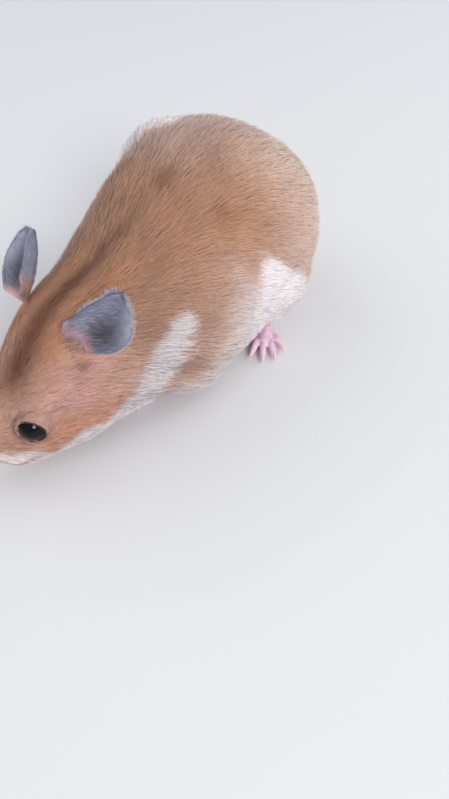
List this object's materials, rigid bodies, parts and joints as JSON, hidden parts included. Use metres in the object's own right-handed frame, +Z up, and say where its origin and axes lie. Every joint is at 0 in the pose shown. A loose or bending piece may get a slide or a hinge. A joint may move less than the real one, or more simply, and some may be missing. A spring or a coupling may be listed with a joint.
{
  "type": "syrian hamster",
  "caption": "Life-size golden hamster with white patches, walking low on all fours with its nose near the floor; a still display model.",
  "frame": {"origin": "on the floor, below the middle of the whole animal's box", "axes": "the trunk faces -Y, the animal's left side is +X, +Z is up"},
  "size_m": [0.06, 0.1122, 0.0464],
  "materials": {
    "fur": "soft golden-orange coat with white patches and a darker stripe on the nape",
    "bare_skin": "thin pink skin, slightly damp on the nose",
    "ear": "thin dark grey skin with a pale down of short hairs",
    "eye": "wet glossy black"
  },
  "bodies": {
    "root": {"head": "fur", "neck": "fur", "trunk": "fur", "foreleg_left": "fur", "foreleg_right": "fur", "hindleg_left": "fur", "hindleg_right": "fur", "forefoot_left": "bare_skin", "forefoot_right": "bare_skin", "hindfoot_left": "bare_skin", "hindfoot_right": "bare_skin", "tail": "bare_skin", "nose": "bare_skin", "ear_left": "ear", "ear_right": "ear", "eye_left": "eye", "eye_right": "eye"}
  },
  "joints": []
}
